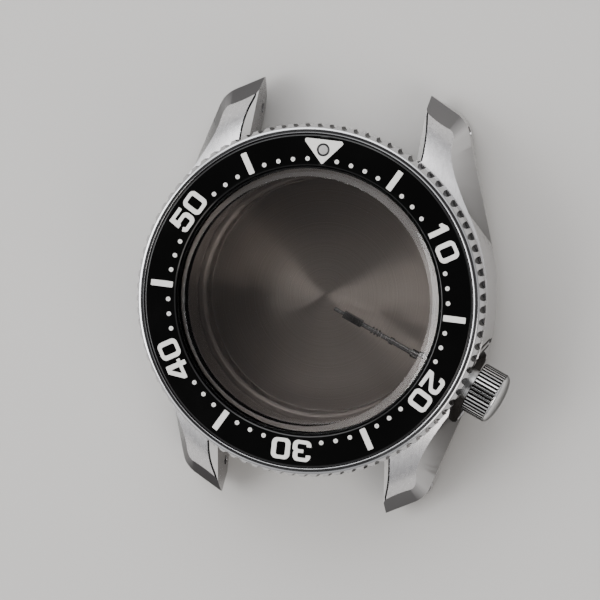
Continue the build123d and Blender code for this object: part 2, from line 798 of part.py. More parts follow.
# Gasket in the skirt of the shell
with BuildPart() as crown_gasket:
    revolve(
        crown_profile([
            (skirt_floor - crown_gasket_thickness, sleeve_bore_radius),
            (skirt_floor - crown_gasket_thickness, crown_skirt_bore - seat_clearance),
            (skirt_floor, crown_skirt_bore - seat_clearance),
            (skirt_floor, sleeve_bore_radius),
        ]),
        axis=crown_axis,
    )
crown_gasket.part.label = "crown_gasket"
export_step(crown_gasket.part, "parts/crown_gasket.step")

# Core that slides in the tube and carries the stem
core_inner_end = crown_recess_floor + core_start_reach
core_flange_place = crown_recess_floor + core_flange_reach
core_flange_end = core_flange_place + core_flange_thickness
core_outer_end = crown_recess_floor + core_reach
with BuildPart() as crown_core:
    revolve(
        crown_profile([
            (core_inner_end, core_bore_radius),
            (core_inner_end, core_radius),
            (core_flange_place, core_radius),
            (core_flange_place, core_flange_radius),
            (core_flange_end, core_flange_radius),
            (core_flange_end, core_radius),
            (core_outer_end, core_radius),
            (core_outer_end, 0),
            (core_bore_end, 0),
            (core_bore_end, core_bore_radius),
        ]),
        axis=crown_axis,
    )
crown_core.part.label = "crown_core"
export_step(crown_core.part, "parts/crown_core.step")

# Slip washer under the spring
washer_start = core_flange_end + seat_clearance
with BuildPart() as spring_washer:
    revolve(
        crown_profile([
            (washer_start, core_radius + running_clearance),
            (washer_start, washer_radius),
            (washer_start + washer_thickness, washer_radius),
            (washer_start + washer_thickness, core_radius + running_clearance),
        ]),
        axis=crown_axis,
    )
spring_washer.part.label = "spring_washer"
export_step(spring_washer.part, "parts/spring_washer.step")

# Spring between washer and cap, as it lies with the crown screwed down
spring_start = washer_start + washer_thickness + spring_wire_width / 2 + spring_end_gap
spring_end = cavity_end - spring_wire_width / 2 - spring_end_gap
spring_pitch = (spring_end - spring_start) / spring_turns
spring_centre = crown_axis.position + crown_direction * spring_start
spring_coil = Helix(spring_pitch, spring_end - spring_start, spring_coil_radius,
                    center=spring_centre, direction=crown_direction)
spring_plane = Plane(spring_coil @ 0, x_dir=spring_coil @ 0 - spring_centre, z_dir=spring_coil % 0)
with BuildPart() as crown_spring:
    with BuildSketch(spring_plane) as spring_wire:
        Rectangle(spring_wire_width, spring_wire_width)
    sweep(spring_wire.sketch, path=spring_coil, is_frenet=True)
crown_spring.part.label = "crown_spring"
export_step(crown_spring.part, "parts/crown_spring.step")
print("least gap between spring turns", round(spring_pitch - spring_wire_width, 3), "mm")

# Winding stem
stem_end = core_bore_end - seat_clearance
stem_points = [
    (stem_pilot_start, 0),
    (stem_pilot_start, stem_pilot_radius),
    (stem_square_start, stem_pilot_radius),
    (stem_square_start, stem_neck_radius),
]
for ridge in range(stem_ridge_count):
    ridge_start = stem_ridge_start + ridge * stem_ridge_pitch
    stem_points += [
        (ridge_start, stem_neck_radius),
        (ridge_start, stem_ridge_radius),
        (ridge_start + stem_ridge_width, stem_ridge_radius),
        (ridge_start + stem_ridge_width, stem_neck_radius),
    ]
stem_points += [
    (stem_collar_start, stem_neck_radius),
    (stem_collar_start, stem_collar_radius),
    (stem_collar_end, stem_collar_radius),
    (stem_collar_end, stem_shank_radius),
    (stem_bearing_start, stem_shank_radius),
    (stem_bearing_start, stem_bearing_radius),
    (stem_bearing_end, stem_bearing_radius),
    (stem_bearing_end, stem_thread_radius),
    (stem_end, stem_thread_radius),
    (stem_end, 0),
]
with BuildPart() as winding_stem:
    revolve(crown_profile(stem_points), axis=crown_axis)
    with BuildSketch(crown_station(stem_square_start)):
        Rectangle(stem_square_width, stem_square_width)
    extrude(amount=stem_square_end - stem_square_start)
winding_stem.part.label = "winding_stem"
export_step(winding_stem.part, "parts/winding_stem.step")

print("crown lift", round(crown_lift_turns * crown_thread_pitch, 3), "mm")
print("back travel", round(back_thread_turns * back_thread_pitch, 3), "mm")
print("stem pull", stem_pull, "mm")
print("thickness", round(crystal_top, 3), "mm")
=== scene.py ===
"""Looks of the empty dive watch case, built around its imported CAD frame.

The case lies on its back on a pale floor. X points to 3 o'clock, Y to 12 o'clock, Z out of the
crystal. Sizes are written in millimetres and become metres through MM.
"""

import math

import bmesh
import bpy
from mathutils import Matrix, Vector


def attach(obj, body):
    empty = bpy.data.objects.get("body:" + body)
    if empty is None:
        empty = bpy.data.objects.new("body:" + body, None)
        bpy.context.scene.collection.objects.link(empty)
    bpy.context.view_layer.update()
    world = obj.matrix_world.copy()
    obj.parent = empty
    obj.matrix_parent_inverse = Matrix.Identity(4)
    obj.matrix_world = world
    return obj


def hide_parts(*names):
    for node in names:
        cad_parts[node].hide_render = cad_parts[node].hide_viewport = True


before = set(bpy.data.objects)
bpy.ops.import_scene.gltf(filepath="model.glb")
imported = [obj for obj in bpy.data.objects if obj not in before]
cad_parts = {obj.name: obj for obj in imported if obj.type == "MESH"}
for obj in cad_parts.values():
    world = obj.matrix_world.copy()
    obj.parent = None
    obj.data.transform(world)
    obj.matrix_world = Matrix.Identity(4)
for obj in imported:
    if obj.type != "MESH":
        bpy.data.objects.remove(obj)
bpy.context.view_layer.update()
MM = 0.001

# ---------------------------------------------------------------- sizes shared with the CAD part
LUG_GAP = 20.0
LUG_TIP = 24.7
END_LEAN = 28.5              # degrees by which the end of a lug falls back towards its flank
CORNER_RADIUS = 3.5          # of the lug corner between end and flank
WALL_RADIUS = 18.6           # of the wall between two lugs
PLATFORM = 10.5              # height of the flat ring under the bezel
PLATFORM_RADIUS = 20.25
BODY_BOTTOM = 1.9
HOLE_REACH = 21.05           # of the drilled lug holes, from the case axis
HOLE_HEIGHT = 2.3
HOLE_RADIUS = 0.55
CROWN_ANGLE = math.radians(-22.5)
CROWN_HEIGHT = 7.4
SCOOP_REACH = 19.75          # of the flat bottom of the crown recess, along the crown's axis
SCOOP_RADIUS = 3.45          # of that bottom
SCOOP_MOUTH = 6.1            # radius of the recess where it opens
INSERT_TOP = 14.0
PIP_REACH = 17.5
FAR = 26.0                   # past every side of the case

CROWN_WAY = Vector((math.cos(CROWN_ANGLE), math.sin(CROWN_ANGLE), 0))
CROWN_FRAME = (Matrix.Translation((0, 0, CROWN_HEIGHT)) @ Matrix.Rotation(CROWN_ANGLE, 4, "Z")
               @ Matrix.Rotation(math.radians(90), 4, "Y"))
PIP_FRAME = Matrix.Translation((0, PIP_REACH, 0))


# ---------------------------------------------------------------- mesh helpers
def new_object(name, data):
    """Object in the scene for a mesh, a curve, a light or a camera."""
    made = bpy.data.objects.new(name, data)
    bpy.context.scene.collection.objects.link(made)
    return made


def mesh_object(name, points, faces, place=None):
    """Object from points in millimetres, moved by a matrix in millimetres if one is given."""
    mesh = bpy.data.meshes.new(name)
    if place is not None:
        points = [place @ Vector(p) for p in points]
    mesh.from_pydata([Vector(p) * MM for p in points], [], faces)
    work = bmesh.new()
    work.from_mesh(mesh)
    bmesh.ops.recalc_face_normals(work, faces=work.faces)
    work.to_mesh(mesh)
    work.free()
    return new_object(name, mesh)


def arc(centre, radius, start, end, steps):
    """Points of an arc from start to end in degrees."""
    angles = [math.radians(start + (end - start) * i / steps) for i in range(steps + 1)]
    return [(centre[0] + radius * math.cos(a), centre[1] + radius * math.sin(a)) for a in angles]


def turned(name, profile, steps, place=None):
    """Closed body turned about Z from a closed profile of (radius, height)."""
    around = [2 * math.pi * i / steps for i in range(steps)]
    points, faces, rings = [], [], []
    for radius, height in profile:
        count = steps if radius else 1
        rings.append(range(len(points), len(points) + count))
        points += [(radius * math.cos(a), radius * math.sin(a), height) for a in around[:count]]
    for first, second in zip(rings, rings[1:] + rings[:1]):
        if len(first) == 1 and len(second) == 1:
            continue
        for i in range(steps):
            j = (i + 1) % steps
            if len(first) == 1:
                faces.append((first[0], second[i], second[j]))
            elif len(second) == 1:
                faces.append((first[i], second[0], first[j]))
            else:
                faces.append((first[i], second[i], second[j], first[j]))
    return mesh_object(name, points, faces, place)


def loft(name, bottom, low, top, high, place=None):
    """Body between two outlines with the same number of points."""
    count = len(bottom)
    points = [(x, y, low) for x, y in bottom] + [(x, y, high) for x, y in top]
    faces = [tuple(range(count)), tuple(range(count, 2 * count))]
    faces += [(i, (i + 1) % count, count + (i + 1) % count, count + i) for i in range(count)]
    return mesh_object(name, points, faces, place)


def prism(name, outline, low, high, place=None):
    """Upright body of an outline between two heights, moved by place."""
    return loft(name, outline, low, outline, high, place)


def merged(name, meshes):
    """One object from several meshes."""
    work = bmesh.new()
    for mesh in meshes:
        work.from_mesh(mesh)
    whole_mesh = bpy.data.meshes.new(name)
    work.to_mesh(whole_mesh)
    work.free()
    return new_object(name, whole_mesh)


def join(name, pieces):
    """One object from several, which are used up."""
    joined = merged(name, [piece.data for piece in pieces])
    for piece in pieces:
        bpy.data.objects.remove(piece)
    return joined


def evaluated_mesh(thing):
    """New mesh of an object with its modifiers, or of a filled curve."""
    graph = bpy.context.evaluated_depsgraph_get()
    return bpy.data.meshes.new_from_object(thing.evaluated_get(graph))


def combine(piece, tool, operation="DIFFERENCE"):
    """Boolean of piece with tool, which is used up."""
    modifier = piece.modifiers.new("combine", "BOOLEAN")
    modifier.operation = operation
    modifier.object = tool
    modifier.solver = "MANIFOLD"
    made = evaluated_mesh(piece)
    piece.modifiers.clear()
    piece.data = made
    bpy.data.objects.remove(tool)


def use_materials(piece, *items):
    """Materials of a piece, in the order of their indices."""
    piece.data.materials.clear()
    for item in items:
        piece.data.materials.append(item)


def smooth(piece, angle):
    """Smooth shading that keeps edges sharper than the angle and flat faces flat."""
    for face in piece.data.polygons:
        face.use_smooth = True
    piece.data.set_sharp_from_angle(angle=math.radians(angle))
    weights = piece.modifiers.new("weights", "WEIGHTED_NORMAL")
    weights.keep_sharp = True
    weights.weight = 80


def finish_piece(piece, body, slot, *nodes, angle):
    """Shading, body and the CAD nodes that the piece stands for; slot is not used."""
    smooth(piece, angle)
    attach(piece, body)
    if nodes:
        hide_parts(*nodes)


# ---------------------------------------------------------------- node helpers
FLOAT, VECTOR = "NodeSocketFloat", "NodeSocketVector"


def node(tree, kind, links=None, **values):
    """Node with its properties and input values; links maps input names to output sockets."""
    made = tree.nodes.new(kind)
    for key, value in values.items():
        if hasattr(made, key):
            setattr(made, key, value)
        else:
            made.inputs[key.replace("_", " ")].default_value = value
    for key, socket in (links or {}).items():
        tree.links.new(socket, made.inputs[key])
    return made


def maths(tree, operation, *values):
    """Result of a maths node on numbers and sockets."""
    made = node(tree, "ShaderNodeMath", operation=operation)
    for index, value in enumerate(values):
        if isinstance(value, (int, float)):
            made.inputs[index].default_value = value
        else:
            tree.links.new(value, made.inputs[index])
    return made.outputs[0]


def mixed(tree, share, first, second):
    """Colour between two that are each a socket or a tuple of red, green and blue."""
    blend = node(tree, "ShaderNodeMix", {0: share}, data_type="RGBA")
    for socket, value in zip(blend.inputs[6:8], (first, second)):
        if isinstance(value, tuple):
            socket.default_value = (*value, 1.0)
        else:
            tree.links.new(value, socket)
    return blend.outputs[2]


def surface_group(name, inputs):
    """Node group with inputs (name, kind, default) and the outputs of a surface, still empty."""
    tree = bpy.data.node_groups.new(name, "ShaderNodeTree")
    for label, kind, default in inputs:
        socket = tree.interface.new_socket(label, in_out="INPUT", socket_type=kind)
        socket.default_value = default
    for label, kind in (("Roughness", FLOAT), ("Normal", VECTOR), ("Shade", FLOAT)):
        tree.interface.new_socket(label, in_out="OUTPUT", socket_type=kind)
    return tree, tree.nodes.new("NodeGroupInput").outputs


def relief(tree, source, height, strength, depth):
    """Normal with rounded edges and a fine relief of a depth in metres."""
    edge = node(tree, "ShaderNodeBevel", {"Radius": source["Edge radius"]}, samples=4)
    bump = node(tree, "ShaderNodeBump",
                {"Height": height, "Strength": strength, "Normal": edge.outputs[0]}, Distance=depth)
    return bump.outputs[0]


def finish_marks(tree, source, fine, cloud):
    """Outputs of brush or turning marks, from their noise and a wider one."""
    total = maths(tree, "ADD", maths(tree, "SUBTRACT", fine, 0.5),
                  maths(tree, "SUBTRACT", cloud, 0.5))
    rough = maths(tree, "MULTIPLY_ADD", total, source["Spread"], source["Roughness"])
    normal = relief(tree, source, fine, source["Depth"], 0.00002)
    node(tree, "NodeGroupOutput", {"Roughness": rough, "Normal": normal, "Shade": fine})
    return tree


# ---------------------------------------------------------------- surfaces
def brush_group():
    """Brush marks: noise stretched along one direction of the object's own coordinates."""
    tree, source = surface_group("brush marks", [
        ("Lines per mm", VECTOR, (12.0, 0.5, 12.0)), ("Depth", FLOAT, 0.15),
        ("Roughness", FLOAT, 0.28), ("Spread", FLOAT, 0.12), ("Edge radius", FLOAT, 0.00005)])
    place = node(tree, "ShaderNodeTexCoord").outputs["Object"]
    scaled = node(tree, "ShaderNodeVectorMath", {0: place, 1: source["Lines per mm"]},
                  operation="MULTIPLY")
    fine = node(tree, "ShaderNodeTexNoise", {"Vector": scaled.outputs[0]},
                Scale=1000.0, Detail=4.0, Roughness=0.65)
    cloud = node(tree, "ShaderNodeTexNoise", {"Vector": place},
                 Scale=160.0, Detail=3.0, Roughness=0.55)
    return finish_marks(tree, source, fine.outputs["Fac"], cloud.outputs["Fac"])


def rings_group():
    """Turning marks: fine rings about an axis of the object's own coordinates."""
    tree, source = surface_group("turning marks", [
        ("Axis", VECTOR, (0.0, 0.0, 1.0)), ("Foot", VECTOR, (0.0, 0.0, 0.0)),
        ("Rings per mm", FLOAT, 9.0), ("Depth", FLOAT, 0.2), ("Roughness", FLOAT, 0.3),
        ("Spread", FLOAT, 0.15), ("Edge radius", FLOAT, 0.00004)])
    place = node(tree, "ShaderNodeTexCoord").outputs["Object"]
    arm = node(tree, "ShaderNodeVectorMath", {0: place, 1: source["Foot"]},
               operation="SUBTRACT").outputs[0]
    cross = node(tree, "ShaderNodeVectorMath", {0: arm, 1: source["Axis"]},
                 operation="CROSS_PRODUCT").outputs[0]
    reach = node(tree, "ShaderNodeVectorMath", {0: cross}, operation="LENGTH").outputs["Value"]
    along = node(tree, "ShaderNodeVectorMath", {0: arm, 1: source["Axis"]},
                 operation="DOT_PRODUCT").outputs["Value"]
    steps = maths(tree, "MULTIPLY", maths(tree, "ADD", reach, along), source["Rings per mm"])
    fine = node(tree, "ShaderNodeTexNoise", {"W": maths(tree, "MULTIPLY", steps, 1000.0)},
                noise_dimensions="1D", Scale=1.0, Detail=3.0, Roughness=0.7)
    cloud = node(tree, "ShaderNodeTexNoise", {"Vector": place}, Scale=220.0, Detail=2.0)
    return finish_marks(tree, source, fine.outputs["Fac"], cloud.outputs["Fac"])


def handled_group():
    """Polished or moulded surface: faint smears and soft waviness."""
    tree, source = surface_group("handled surface", [
        ("Smear size", FLOAT, 180.0), ("Roughness", FLOAT, 0.06), ("Spread", FLOAT, 0.06),
        ("Wave", FLOAT, 0.03), ("Edge radius", FLOAT, 0.00006)])
    place = node(tree, "ShaderNodeTexCoord").outputs["Object"]
    cloud = node(tree, "ShaderNodeTexNoise", {"Vector": place, "Scale": source["Smear size"]},
                 Detail=5.0, Roughness=0.6).outputs["Fac"]
    swell = node(tree, "ShaderNodeTexNoise", {"Vector": place}, Scale=700.0, Detail=1.0)
    normal = relief(tree, source, swell.outputs["Fac"], source["Wave"], 0.00004)
    lifted = node(tree, "ShaderNodeMapRange", {"Value": cloud}, From_Min=0.42, From_Max=0.75)
    rough = maths(tree, "MULTIPLY_ADD", lifted.outputs[0], source["Spread"], source["Roughness"])
    node(tree, "NodeGroupOutput", {"Roughness": rough, "Normal": normal, "Shade": cloud})
    return tree


BRUSH, RINGS, HANDLED = brush_group(), rings_group(), handled_group()


# ---------------------------------------------------------------- materials
def material(name, surface, settings, low, high, **shader):
    """Principled material whose roughness, normal and shade come from a surface group."""
    made = bpy.data.materials.new(name)
    made.use_nodes = True
    tree = made.node_tree
    principled = tree.nodes["Principled BSDF"]
    marks = node(tree, "ShaderNodeGroup", node_tree=surface)
    for key, value in settings.items():
        marks.inputs[key].default_value = value
    shade = mixed(tree, marks.outputs["Shade"], low, high)
    tree.links.new(shade, principled.inputs["Base Color"])
    for key in ("Roughness", "Normal"):
        tree.links.new(marks.outputs[key], principled.inputs[key])
    for key, value in shader.items():
        principled.inputs[key.replace("_", " ")].default_value = value
    return made


def handled(name, roughness, spread, wave, low, high, smears=180.0, **shader):
    """Material of a polished, plain or moulded surface."""
    settings = {"Smear size": smears, "Roughness": roughness, "Spread": spread, "Wave": wave}
    return material(name, HANDLED, settings, low, high, **shader)


def towards_ends(made, shade):
    """Painted dark reflection: another colour for faces towards 12 or 6 o'clock, with a soft change
    between.
    """
    tree = made.node_tree
    base = tree.nodes["Principled BSDF"].inputs["Base Color"]
    before = base.links[0].from_socket
    facing = node(tree, "ShaderNodeNewGeometry")
    split = node(tree, "ShaderNodeSeparateXYZ", {0: facing.outputs["Normal"]})
    size = maths(tree, "ABSOLUTE", split.outputs["Y"])
    ramp = node(tree, "ShaderNodeMapRange", {"Value": size}, From_Min=0.42, From_Max=0.84)
    tree.links.new(mixed(tree, ramp.outputs[0], before, shade), base)


def radial_gloss(made, axis):
    """Radial tangent for the anisotropic gloss of turned metal."""
    tree = made.node_tree
    radial = node(tree, "ShaderNodeTangent", direction_type="RADIAL", axis=axis)
    tree.links.new(radial.outputs[0], tree.nodes["Principled BSDF"].inputs["Tangent"])


TINT = (0.30, 0.30, 0.30, 1.0)     # dims the reflections at a flat angle
CROWN_RINGS = {"Axis": CROWN_WAY, "Foot": (0.0, 0.0, CROWN_HEIGHT * MM)}

brushed_top = material(
    "brushed steel top", BRUSH,
    {"Lines per mm": (2.6, 0.10, 2.6), "Depth": 0.3, "Roughness": 0.27, "Spread": 0.10},
    (0.50, 0.49, 0.50), (0.86, 0.85, 0.86), Metallic=1.0)
brushed_flank = material(
    "brushed steel flank", BRUSH,
    {"Lines per mm": (6.0, 0.35, 14.0), "Depth": 0.3, "Roughness": 0.30, "Spread": 0.16},
    (0.50, 0.49, 0.49), (0.70, 0.69, 0.69), Metallic=1.0)
# Satin steel of the inner sides of the lugs and of the undersides: the satin lines are real, the
# dark tone is painted shade.
satin_wall_painted_shade = material(
    "satin steel wall", BRUSH,
    {"Lines per mm": (8.0, 8.0, 1.2), "Depth": 0.2, "Roughness": 0.26, "Spread": 0.14},
    (0.26, 0.25, 0.25), (0.38, 0.37, 0.37), Metallic=1.0)
polished = handled("polished bevel", 0.07, 0.08, 0.02, (0.66, 0.655, 0.66), (0.74, 0.735, 0.74),
                   Metallic=1.0, Specular_Tint=TINT)
# The polished bevel turns near black where it faces 12 or 6 o'clock: a painted dark reflection on
# the lug ends.
towards_ends(polished, (0.097, 0.095, 0.099))
# Near-white steel for the inner bevels: a painted highlight.
inner_bevel_painted_highlight = handled("polished inner bevel", 0.33, 0.05, 0.01,
                        (0.97, 0.97, 0.97), (1.0, 1.0, 1.0), Metallic=1.0)
# Near-black steel for the crown recess: painted shade in the recess.
recess_painted_shade = handled("crown recess", 0.25, 0.1, 0.02,
                       (0.07, 0.067, 0.065), (0.12, 0.116, 0.113), Metallic=1.0, Specular_Tint=TINT)
# Darker steel for the walls of the scallops: their cut finish is real, the darker colour is painted
# shade.
scallop_cut_painted_shade = handled("bezel scallops", 0.16, 0.10, 0.03,
                    (0.26, 0.256, 0.253), (0.38, 0.375, 0.372), Metallic=1.0, Specular_Tint=TINT)
# Near-black steel for the narrow chamfer at the inner bevels: a painted shade line.
chamfer_painted_shade = handled("dark chamfer", 0.2, 0.1, 0.02,
                       (0.010, 0.010, 0.011), (0.022, 0.022, 0.024), Metallic=1.0)
bezel_polish = handled("polished bezel", 0.09, 0.10, 0.03,
                       (0.50, 0.50, 0.51), (0.58, 0.58, 0.59), Metallic=1.0)
bore_metal = material(
    "turned bore", RINGS,
    {"Rings per mm": 5.0, "Depth": 0.012, "Roughness": 0.24, "Spread": 0.10},
    (0.46, 0.435, 0.425), (0.64, 0.61, 0.60), Metallic=1.0)
# Turned caseback: the turning rings and the anisotropic gloss are real, its very dark tone is
# painted shade.
caseback_painted_shade = material(
    "turned back", RINGS,
    {"Rings per mm": 7.0, "Depth": 0.012, "Roughness": 0.35, "Spread": 0.05},
    (0.112, 0.094, 0.085), (0.172, 0.148, 0.137), Metallic=1.0,
    Anisotropic=1.0, Anisotropic_Rotation=0.25)
radial_gloss(caseback_painted_shade, "Z")
crown_metal = handled("crown steel", 0.12, 0.08, 0.02, (0.62, 0.62, 0.62), (0.72, 0.72, 0.72),
                      Metallic=1.0, Specular_Tint=TINT)
# Near-black steel for the crown's grooves: painted shade in the grooves.
groove_painted_shade = handled("crown groove", 0.35, 0.1, 0.05,
                       (0.012, 0.011, 0.010), (0.03, 0.028, 0.027), Metallic=1.0)
# The stem is steel coloured near black: painted shade; its turning rings are real.
stem_painted_shade = material(
    "stem steel", RINGS,
    {**CROWN_RINGS, "Rings per mm": 4.0, "Depth": 0.1, "Roughness": 0.22, "Spread": 0.2},
    (0.05, 0.047, 0.045), (0.16, 0.15, 0.15), Metallic=1.0)
turned_metal = material(
    "turned steel", RINGS,
    {**CROWN_RINGS, "Rings per mm": 9.0, "Depth": 0.2, "Roughness": 0.28, "Spread": 0.14},
    (0.44, 0.44, 0.44), (0.62, 0.62, 0.62), Metallic=1.0)
spring_metal = handled("spring steel", 0.2, 0.1, 0.05,
                       (0.42, 0.42, 0.44), (0.56, 0.56, 0.58), Metallic=1.0)
cup_metal = handled("dark cup", 0.3, 0.1, 0.05,
                    (0.03, 0.03, 0.032), (0.07, 0.07, 0.075), Metallic=1.0)
black_gloss = handled("black ceramic", 0.07, 0.09, 0.01,
                      (0.0008, 0.0008, 0.0008), (0.0016, 0.0016, 0.0016), smears=120.0, IOR=1.5)
mark_paint = handled("pale marks", 0.5, 0.2, 0.3,
                     (0.62, 0.61, 0.58), (0.80, 0.79, 0.76), smears=2600.0)
lume_paint = handled("lume pip", 0.6, 0.1, 0.3,
                     (0.30, 0.295, 0.29), (0.38, 0.375, 0.37), smears=3000.0)
rubber = handled("black rubber", 0.55, 0.2, 0.2,
                 (0.008, 0.008, 0.008), (0.02, 0.02, 0.02), smears=900.0)
sapphire = material(
    "sapphire", HANDLED,
    {"Smear size": 90.0, "Roughness": 0.0, "Spread": 0.015, "Wave": 0.0, "Edge radius": 0.00003},
    (0.97, 0.985, 0.98), (0.99, 0.995, 0.995), IOR=1.5, Transmission_Weight=1.0)


# ---------------------------------------------------------------- midcase
def corner_arc(before, corner, after, radius, steps):
    """Points of the arc that rounds a corner."""
    corner = Vector(corner)
    first = (Vector(before) - corner).normalized()
    second = (Vector(after) - corner).normalized()
    half = math.acos(max(-1, min(1, first.dot(second)))) / 2
    middle = corner + (first + second).normalized() * radius / math.sin(half)
    touch = corner + first * radius / math.tan(half) - middle
    turn = math.pi - 2 * half
    sign = 1 if first.x * second.y - first.y * second.x < 0 else -1
    return [tuple(middle + Matrix.Rotation(sign * turn * i / steps, 2) @ touch)
            for i in range(steps + 1)]


def quarter(half_width, side_radius, end_width, end_reach, corner_radius=CORNER_RADIUS):
    """First quadrant of a case outline, from 3 o'clock round the lug to 12 o'clock."""
    inner, centre = LUG_GAP / 2, half_width - side_radius
    corner = (inner + end_width, end_reach - end_width * math.tan(math.radians(END_LEAN)))
    run = math.hypot(corner[0] - centre, corner[1])
    side_lean = math.degrees(math.asin(corner[1] / run) - math.acos(side_radius / run))
    side = arc((centre, 0), side_radius, 0, side_lean, 28)
    tip = (inner, end_reach)
    foot = math.degrees(math.asin(math.sqrt(WALL_RADIUS**2 - inner**2) / WALL_RADIUS))
    bend = corner_arc(side[-1], corner, tip, corner_radius, 24)
    flank = [tuple(Vector(side[-1]).lerp(Vector(bend[0]), i / 40)) for i in range(1, 40)]
    return side + flank + bend + [tip] + arc((0, 0), WALL_RADIUS, foot, 90, 20)


def whole(points):
    """Closed outline from its first quadrant."""
    upper = points + [(-x, y) for x, y in points[-2::-1]]
    return upper + [(x, -y) for x, y in upper[-2:0:-1]]


SIDEWAYS = Matrix(((0, 0, 1, 0), (1, 0, 0, 0), (0, 1, 0, 0), (0, 0, 0, 1)))  # (y, z), depth x
ENDWAYS = Matrix(((1, 0, 0, 0), (0, 0, 1, 0), (0, 1, 0, 0), (0, 0, 0, 1)))   # (x, z), depth y
MIRROR_X, MIRROR_Y = Matrix.Scale(-1, 4, (1, 0, 0)), Matrix.Scale(-1, 4, (0, 1, 0))

# The body narrows from its foot to the platform, and an upright outline cuts the flanks: what is
# left of the slope is the polished bevel.
foot_outline = whole(quarter(20.55, 28.0, 5.52, LUG_TIP + 1.9))
top_outline = whole(quarter(PLATFORM_RADIUS, 23.0, 2.6, 20.05, 1.6))
flank_outline = whole(quarter(20.4, 23.5, 4.49, LUG_TIP))
case = loft("case_body", foot_outline, 0.0, top_outline, PLATFORM)
combine(case, prism("flank", flank_outline, -1.0, PLATFORM + 1.0), "INTERSECT")

# The top falls away round the case axis: an arc, then a straight slope.
TOP_ARC_RADIUS = 9.0
TOP_ARC_REACH = 16.95        # of the arc's centre from the case axis
TOP_ARC_RUN = 3.3            # from there out to the edge of the platform
TOP_SLOPE = 50.0             # degrees
TOP_END = 36.0               # radius at which the cutting body ends
top_arc = arc((TOP_ARC_REACH, PLATFORM - TOP_ARC_RADIUS), TOP_ARC_RADIUS,
              90 - math.degrees(math.asin(TOP_ARC_RUN / TOP_ARC_RADIUS)), 90 - TOP_SLOPE, 20)
reach, height = top_arc[-1]
top_foot = height - (TOP_END - reach) * math.tan(math.radians(TOP_SLOPE))
combine(case, turned("top", [(PLATFORM_RADIUS, 13)] + top_arc
                     + [(TOP_END, top_foot), (TOP_END, 13)], 720))

# Underside: the lugs reach below the body and rise again to their tips, and everything rises
# towards the flanks.
heel = [(17.6, BODY_BOTTOM), (21.0, 0.6), (22.6, 0.6), (LUG_TIP, 2.4), (FAR, 2.4), (FAR, -1)]
combine(case, prism("heel", [(-y, z) for y, z in heel[::-1]] + heel, -FAR, FAR, SIDEWAYS))
foot = [(17.6, BODY_BOTTOM), (21.4, BODY_BOTTOM + 3.8 * 1.5 / 2.8), (21.4, -1), (17.6, -1)]
for side in (1, -1):
    combine(case, prism("foot", [(side * x, z) for x, z in foot], -FAR, FAR, ENDWAYS))

# Inner bevels: a wedge along the inner edge of each lug's top, its section from a little outside
# the edge to well inside.
fall_angle, rise = math.radians(26.5), math.tan(math.radians(60.5))
outside, inside = -0.1, 3
down = Vector((0, -math.cos(fall_angle), math.sin(fall_angle)))
across = Vector((1, 0, 0))
bevel_frame = Matrix((across, down.cross(across), down)).transposed().to_4x4()
bevel_frame.translation = (LUG_GAP / 2, LUG_TIP - 4.5, 6.95)
bevel_normal = bevel_frame.to_3x3() @ Vector((-rise, 1, 0)).normalized()
wedge = [(outside, outside * rise), (inside, inside * rise), (outside, inside * rise)]
for flip in (Matrix(), MIRROR_X, MIRROR_Y, MIRROR_X @ MIRROR_Y):
    combine(case, prism("bevel", wedge, -5, 5, flip @ bevel_frame))

neck = [(0, 9), (16.9, 9), (16.9, 11.62), (16.5, 11.62), (16.5, 12.28), (16.9, 12.28),
        (16.9, 12.8), (0, 12.8)]
combine(case, turned("neck", neck, 360), "UNION")
bore = [(0, 0), (16.45, 0), (16.45, 4.8), (14.65, 4.8), (14.65, 6.7), (14.4, 6.7), (14.4, 11.3),
        (15.6, 11.3), (15.6, 12.6), (15.8, 12.8), (15.8, 13.5), (0, 13.5)]
combine(case, turned("bore", bore, 360))
combine(case, turned("back_seat", [(0, 0), (17.31, 0), (17.31, 2.52), (0, 2.52)], 360))
scoop = [(0, SCOOP_REACH), (SCOOP_RADIUS, SCOOP_REACH), (SCOOP_MOUTH, 20.8), (SCOOP_MOUTH, 22),
         (0, 22)]
combine(case, turned("crown_scoop", scoop, 200, CROWN_FRAME))
combine(case, turned("tube_hole", [(0, 13), (1.25, 13), (1.25, 21), (0, 21)], 64, CROWN_FRAME))
for side in (1, -1):
    hole = [(side * HOLE_REACH + y, HOLE_HEIGHT + z)
            for y, z in arc((0, 0), HOLE_RADIUS, 0, 351, 39)]
    combine(case, prism("hole", hole, -FAR, FAR, SIDEWAYS))
spring_pocket = arc((0, 0), 17.35, 132, 228, 60) + arc((0, 0), 19.1, 228, 132, 60)
combine(case, prism("pocket", spring_pocket, 9.5, 12))

TOP, FLANK, BEVEL, WALL, BORE, RECESS_SHADE, INNER_BEVEL, CHAMFER_SHADE = range(8)
use_materials(case, brushed_top, brushed_flank, polished, satin_wall_painted_shade, bore_metal, recess_painted_shade,
              inner_bevel_painted_highlight, chamfer_painted_shade)
TURNED_RADIUS = 17.4         # within which the case is turned
SCOOP_SLOPE = 2.524          # of the wall of the crown recess: radius over depth


